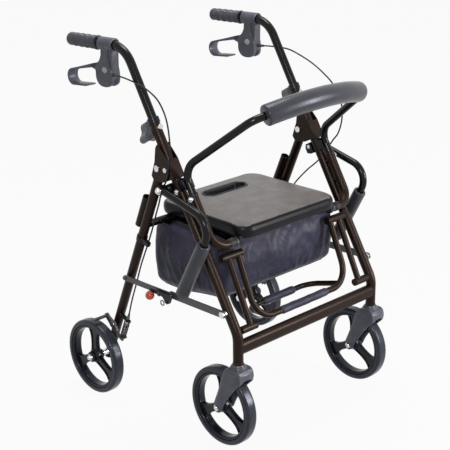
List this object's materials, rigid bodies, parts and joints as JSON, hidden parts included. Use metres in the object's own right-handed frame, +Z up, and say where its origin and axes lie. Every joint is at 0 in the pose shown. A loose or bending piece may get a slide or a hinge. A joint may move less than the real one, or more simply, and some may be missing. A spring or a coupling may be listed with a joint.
{
  "type": "rollator transport chair",
  "caption": "Folding rollator walker that converts to a transport chair, with swivel casters, hand brakes, padded seat and backrest, flip-up armrests, swing-out footrest and bag",
  "frame": {"origin": "on the floor under the middle of the chair's box", "axes": "X across with the walking user's left at +X, +Y to the rear where that user stands, +Z up"},
  "size_m": [0.652, 0.6532, 0.9525],
  "materials": {
    "frame_paint": "satin bronze-brown metallic paint",
    "black_tube": "gloss black paint",
    "dark_plastic": "matte charcoal moulding",
    "grey_plastic": "matte grey moulding",
    "grip_rubber": "matte black",
    "dark_metal": "dark grey coat",
    "bright_metal": "bright plate",
    "foam": "soft grey foam skin",
    "seat_cover": "satin black vinyl",
    "board": "matte black",
    "bag_cloth": "navy nylon weave",
    "tyre": "matte black",
    "red_ball": "gloss red-orange"
  },
  "bodies": {
    "front_frame": {"front_leg_left": "frame_paint", "front_leg_right": "frame_paint", "front_crossbar": "frame_paint", "front_sockets": "frame_paint", "folding_brackets": "frame_paint", "armrest_blocks": "dark_plastic", "frame_bolts": "bright_metal", "seat_bushes": "grey_plastic", "carry_bag": "bag_cloth", "leg_collars": "dark_plastic", "backrest_saddles": "dark_plastic", "caster_bushes": "dark_plastic", "footrest_pivots": "frame_paint", "brake_cables_upper": "grip_rubber"},
    "backrest": {"backrest_tube": "black_tube", "backrest_pad": "foam"},
    "footrest_links": {"footrest_links": "frame_paint"},
    "footrest": {"footrest_frame": "frame_paint", "footrest_sleeves": "bag_cloth"},
    "seat": {"seat_cushion": "seat_cover", "seat_board": "board"},
    "rear_frame": {"rear_leg_left": "frame_paint", "rear_leg_right": "frame_paint", "rear_sockets": "frame_paint", "seat_rail": "black_tube", "rear_pins": "bright_metal", "brake_cables_lower": "grip_rubber", "cable_clips": "dark_plastic", "brake_springs": "dark_metal"},
    "front_struts": {"front_struts": "dark_metal"},
    "rear_struts": {"rear_struts": "dark_metal"},
    "strut_release": {"strut_latch": "dark_plastic", "release_ball": "red_ball"},
    "handle_left": {"handle_tube_left": "black_tube", "hand_grip_left": "grip_rubber", "brake_body_left": "dark_plastic"},
    "brake_lever_left": {"brake_lever_left": "dark_metal"},
    "height_knob_left": {"height_knob_left": "grey_plastic"},
    "armrest_left": {"armrest_tube_left": "black_tube", "armrest_pad_left": "foam"},
    "rear_wheel_left": {"rear_rim_left": "dark_plastic", "rear_tyre_left": "tyre"},
    "caster_left": {"caster_fork_left": "grey_plastic"},
    "caster_wheel_left": {"caster_rim_left": "dark_plastic", "caster_tyre_left": "tyre"},
    "brake_arm_left": {"brake_arm_left": "dark_metal"},
    "handle_right": {"handle_tube_right": "black_tube", "hand_grip_right": "grip_rubber", "brake_body_right": "dark_plastic"},
    "brake_lever_right": {"brake_lever_right": "dark_metal"},
    "height_knob_right": {"height_knob_right": "grey_plastic"},
    "armrest_right": {"armrest_tube_right": "black_tube", "armrest_pad_right": "foam"},
    "rear_wheel_right": {"rear_rim_right": "dark_plastic", "rear_tyre_right": "tyre"},
    "caster_right": {"caster_fork_right": "grey_plastic"},
    "caster_wheel_right": {"caster_rim_right": "dark_plastic", "caster_tyre_right": "tyre"},
    "brake_arm_right": {"brake_arm_right": "dark_metal"}
  },
  "joints": [
    {"name": "fold", "type": "hinge", "parent": "front_frame", "child": "rear_frame", "pos_m": [0, -0.01978, 0.66573], "axis": [-1, 0, 0], "range_deg": [0, 26], "deforming": ["brake_cables_lower"]},
    {"name": "front_strut_swing", "type": "hinge", "parent": "front_frame", "child": "front_struts", "pos_m": [0, -0.2395, 0.35443], "axis": [-1, 0, 0], "range_deg": [0, 61.67]},
    {"name": "rear_strut_swing", "type": "hinge", "parent": "front_struts", "child": "rear_struts", "pos_m": [0, -0.05745, 0.35002], "axis": [1, 0, 0], "range_deg": [0, 110.59]},
    {"name": "strut_release", "type": "hinge", "parent": "rear_struts", "child": "strut_release", "pos_m": [-0.277, -0.02745, 0.35002], "axis": [1, 0, 0], "range_deg": [-12, 0], "stiffness_Nm_per_rad": 0.2},
    {"name": "seat_lift", "type": "hinge", "parent": "front_frame", "child": "seat", "pos_m": [0, -0.19053, 0.5], "axis": [1, 0, 0], "range_deg": [0, 75]},
    {"name": "backrest_lift", "type": "slide", "parent": "front_frame", "child": "backrest", "axis": [0, 0.515, 0.8572], "range_m": [0, 0.12]},
    {"name": "footrest_swing", "type": "hinge", "parent": "front_frame", "child": "footrest_links", "pos_m": [0, -0.2664, 0.311], "axis": [1, 0, 0], "range_deg": [0, 118]},
    {"name": "footrest_level", "type": "hinge", "parent": "footrest_links", "child": "footrest", "pos_m": [0, -0.1904, 0.468], "axis": [1, 0, 0], "range_deg": [-118.5, 0.5]},
    {"name": "handle_height_left", "type": "slide", "parent": "front_frame", "child": "handle_left", "axis": [0, 0.515, 0.8572], "range_m": [-0.1, 0], "deforming": ["brake_cables_upper"]},
    {"name": "brake_squeeze_left", "type": "hinge", "parent": "handle_left", "child": "brake_lever_left", "pos_m": [0.245, 0.19002, 0.86521], "axis": [1, 0, 0], "range_deg": [0, 12], "stiffness_Nm_per_rad": 1.5},
    {"name": "knob_turn_left", "type": "hinge", "parent": "front_frame", "child": "height_knob_left", "pos_m": [0.245, 0.01221, 0.74801], "axis": [0, 0.8572, -0.515], "continuous": true},
    {"name": "armrest_lift_left", "type": "hinge", "parent": "front_frame", "child": "armrest_left", "pos_m": [0.28, -0.05231, 0.62228], "axis": [1, 0, 0], "range_deg": [-118, 0]},
    {"name": "rear_wheel_spin_left", "type": "hinge", "parent": "rear_frame", "child": "rear_wheel_left", "pos_m": [0.298, 0.21736, 0.1016], "axis": [1, 0, 0], "continuous": true},
    {"name": "caster_swivel_left", "type": "hinge", "parent": "front_frame", "child": "caster_left", "pos_m": [0.245, -0.2704, 0.23], "axis": [0, 0, 1], "continuous": true},
    {"name": "caster_spin_left", "type": "hinge", "parent": "caster_left", "child": "caster_wheel_left", "pos_m": [0.245, -0.2184, 0.1016], "axis": [1, 0, 0], "continuous": true},
    {"name": "wheel_brake_left", "type": "hinge", "parent": "rear_frame", "child": "brake_arm_left", "pos_m": [0.264, 0.17783, 0.19563], "axis": [1, 0, 0], "range_deg": [-12.5, 0.5], "deforming": ["brake_springs"]},
    {"name": "handle_height_right", "type": "slide", "parent": "front_frame", "child": "handle_right", "axis": [0, 0.515, 0.8572], "range_m": [-0.1, 0], "deforming": ["brake_cables_upper"]},
    {"name": "brake_squeeze_right", "type": "hinge", "parent": "handle_right", "child": "brake_lever_right", "pos_m": [-0.245, 0.19002, 0.86521], "axis": [1, 0, 0], "range_deg": [0, 12], "stiffness_Nm_per_rad": 1.5},
    {"name": "knob_turn_right", "type": "hinge", "parent": "front_frame", "child": "height_knob_right", "pos_m": [-0.245, 0.01221, 0.74801], "axis": [0, 0.8572, -0.515], "continuous": true},
    {"name": "armrest_lift_right", "type": "hinge", "parent": "front_frame", "child": "armrest_right", "pos_m": [-0.28, -0.05231, 0.62228], "axis": [1, 0, 0], "range_deg": [-118, 0]},
    {"name": "rear_wheel_spin_right", "type": "hinge", "parent": "rear_frame", "child": "rear_wheel_right", "pos_m": [-0.298, 0.21736, 0.1016], "axis": [1, 0, 0], "continuous": true},
    {"name": "caster_swivel_right", "type": "hinge", "parent": "front_frame", "child": "caster_right", "pos_m": [-0.245, -0.2704, 0.23], "axis": [0, 0, 1], "continuous": true},
    {"name": "caster_spin_right", "type": "hinge", "parent": "caster_right", "child": "caster_wheel_right", "pos_m": [-0.245, -0.2184, 0.1016], "axis": [1, 0, 0], "continuous": true},
    {"name": "wheel_brake_right", "type": "hinge", "parent": "rear_frame", "child": "brake_arm_right", "pos_m": [-0.264, 0.17783, 0.19563], "axis": [1, 0, 0], "range_deg": [-12.5, 0.5], "deforming": ["brake_springs"]}
  ],
  "couplings": [
    {"joint": "front_strut_swing", "follows": "fold", "ratio": 2.3565},
    {"joint": "rear_strut_swing", "follows": "fold", "ratio": 4.2303},
    {"joint": "footrest_level", "follows": "footrest_swing", "ratio": -1},
    {"joint": "wheel_brake_left", "follows": "brake_squeeze_left", "ratio": -1},
    {"joint": "wheel_brake_right", "follows": "brake_squeeze_right", "ratio": -1}
  ]
}
